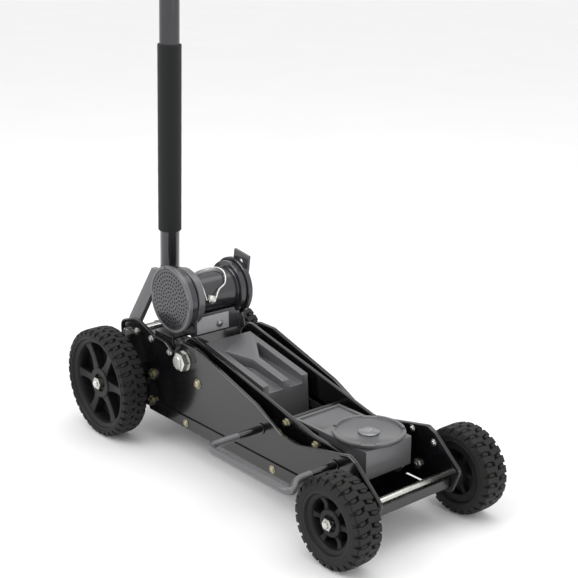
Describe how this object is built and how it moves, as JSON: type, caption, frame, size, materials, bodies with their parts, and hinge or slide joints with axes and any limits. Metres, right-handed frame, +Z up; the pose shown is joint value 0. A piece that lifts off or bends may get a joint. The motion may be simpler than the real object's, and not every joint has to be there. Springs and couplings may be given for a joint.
{
  "type": "hydraulic floor jack",
  "caption": "Long low trolley jack on big off-road wheels, with a level-lifting saddle arm, folding pump handle, stored saddle extension and a side carrying loop.",
  "frame": {"origin": "on the floor, under the centre of the jack's outer box", "axes": "+X from the handle end to the saddle end, +Y to the jack's left, +Z up; the side carrying loop is on -Y"},
  "size_m": [0.8084, 0.372, 1.213],
  "materials": {
    "gloss_black": "gloss powder coat",
    "metallic_grey": "metallic powder coat",
    "dark_grey": "metallic enamel",
    "zinc": "bright zinc plate",
    "steel": "oiled turned steel",
    "tyre": "moulded rubber",
    "composite": "glass-filled nylon",
    "foam": "closed-cell foam"
  },
  "bodies": {
    "frame": {"side_plate_right": "gloss_black", "side_plate_left": "gloss_black", "skid_plate": "gloss_black", "rear_axle": "steel", "front_axle": "zinc", "rear_hub_nut_right": "zinc", "rear_hub_nut_left": "zinc", "front_hub_nut_right": "zinc", "front_hub_nut_left": "zinc", "lift_pivot_shaft": "steel", "lift_pivot_nut_right": "zinc", "lift_pivot_nut_left": "zinc", "hydraulic_base": "dark_grey", "ram_cylinder": "steel", "link_rail_right": "dark_grey", "link_rail_left": "dark_grey", "power_unit_cover": "metallic_grey", "cover_cross_bar": "gloss_black", "rear_cross_rod": "zinc", "yoke_bolt_right": "zinc", "yoke_bolt_left": "zinc", "storage_bracket": "gloss_black", "storage_block": "dark_grey", "storage_block_plate": "metallic_grey", "storage_post": "dark_grey", "extension_body": "dark_grey", "extension_saddle": "dark_grey", "side_handle": "metallic_grey", "side_handle_stub_rear": "gloss_black", "side_handle_stub_front": "gloss_black"},
    "lift_arm": {"arm_plate_right": "gloss_black", "arm_plate_left": "gloss_black", "arm_pivot_tube": "gloss_black", "arm_crank_pin": "steel", "arm_cross_bar": "gloss_black"},
    "head": {"saddle_head": "metallic_grey", "saddle_head_pin": "steel", "link_pin_right": "steel", "link_pin_left": "steel"},
    "saddle": {"saddle_cup": "metallic_grey", "saddle_button": "steel"},
    "link_right": {"levelling_link_right": "dark_grey"},
    "link_left": {"levelling_link_left": "dark_grey"},
    "ram": {"ram_rod": "zinc"},
    "yoke": {"handle_yoke": "metallic_grey"},
    "handle": {"handle_tube": "dark_grey", "foam_sleeve": "foam", "handle_end_grip": "foam"},
    "plunger": {"pump_plunger": "zinc"},
    "valve": {"release_valve": "zinc"},
    "locking_pin": {"lock_pin": "zinc"},
    "bail": {"pin_bail": "zinc"},
    "rear_wheel_right": {"rear_tyre_right": "tyre", "rear_hub_right": "composite"},
    "rear_wheel_left": {"rear_tyre_left": "tyre", "rear_hub_left": "composite"},
    "front_wheel_right": {"front_tyre_right": "tyre", "front_hub_right": "composite"},
    "front_wheel_left": {"front_tyre_left": "tyre", "front_hub_left": "composite"}
  },
  "joints": [
    {"name": "lift_arm_hinge", "type": "hinge", "parent": "frame", "child": "lift_arm", "pos_m": [-0.12725, 0.019, 0.179], "axis": [0, -1, 0], "range_deg": [0, 60]},
    {"name": "head_level", "type": "hinge", "parent": "lift_arm", "child": "head", "pos_m": [0.25125, 0.019, 0.118], "axis": [0, -1, 0], "range_deg": [-60, 0]},
    {"name": "saddle_spin", "type": "hinge", "parent": "head", "child": "saddle", "pos_m": [0.25125, 0.019, 0.15], "axis": [0, 0, 1], "continuous": true},
    {"name": "link_right_hinge", "type": "hinge", "parent": "frame", "child": "link_right", "pos_m": [-0.12125, 0.019, 0.146], "axis": [0, -1, 0], "range_deg": [0, 60]},
    {"name": "link_left_hinge", "type": "hinge", "parent": "frame", "child": "link_left", "pos_m": [-0.12125, 0.019, 0.146], "axis": [0, -1, 0], "range_deg": [0, 60]},
    {"name": "ram_slide", "type": "slide", "parent": "frame", "child": "ram", "axis": [1, 0, 0], "range_m": [0, 0.062]},
    {"name": "handle_pump", "type": "hinge", "parent": "frame", "child": "yoke", "pos_m": [-0.30965, 0.019, 0.1818], "axis": [0, -1, 0], "range_deg": [0, 75]},
    {"name": "handle_twist", "type": "hinge", "parent": "yoke", "child": "handle", "pos_m": [-0.29736, 0.019, 0.18121], "axis": [0.0476, 0, 0.9989], "range_deg": [0, 90]},
    {"name": "plunger_slide", "type": "slide", "parent": "frame", "child": "plunger", "axis": [1, 0, 0], "range_m": [0, 0.0366]},
    {"name": "valve_turn", "type": "hinge", "parent": "frame", "child": "valve", "pos_m": [-0.3, 0.046, 0.13], "axis": [1, 0, 0], "range_deg": [0, 90]},
    {"name": "lock_pin_pull", "type": "slide", "parent": "frame", "child": "locking_pin", "axis": [1, 0, 0], "range_m": [0, 0.045]},
    {"name": "bail_swing", "type": "hinge", "parent": "locking_pin", "child": "bail", "pos_m": [-0.12875, -0.005, 0.278], "axis": [0, 1, 0], "range_deg": [0, 100]},
    {"name": "rear_wheel_right_spin", "type": "hinge", "parent": "frame", "child": "rear_wheel_right", "pos_m": [-0.30275, -0.12175, 0.1015], "axis": [0, 1, 0], "continuous": true},
    {"name": "rear_wheel_left_spin", "type": "hinge", "parent": "frame", "child": "rear_wheel_left", "pos_m": [-0.30275, 0.15975, 0.1015], "axis": [0, 1, 0], "continuous": true},
    {"name": "front_wheel_right_spin", "type": "hinge", "parent": "frame", "child": "front_wheel_right", "pos_m": [0.33125, -0.118, 0.073], "axis": [0, 1, 0], "continuous": true},
    {"name": "front_wheel_left_spin", "type": "hinge", "parent": "frame", "child": "front_wheel_left", "pos_m": [0.33125, 0.156, 0.073], "axis": [0, 1, 0], "continuous": true}
  ],
  "couplings": [
    {"joint": "head_level", "follows": "lift_arm_hinge", "ratio": -1},
    {"joint": "link_right_hinge", "follows": "lift_arm_hinge", "ratio": 1},
    {"joint": "link_left_hinge", "follows": "lift_arm_hinge", "ratio": 1},
    {"joint": "ram_slide", "follows": "lift_arm_hinge", "m_per_rad": 0.0592},
    {"joint": "plunger_slide", "follows": "handle_pump", "m_per_rad": 0.02788},
    {"joint": "valve_turn", "follows": "handle_twist", "ratio": 1}
  ]
}
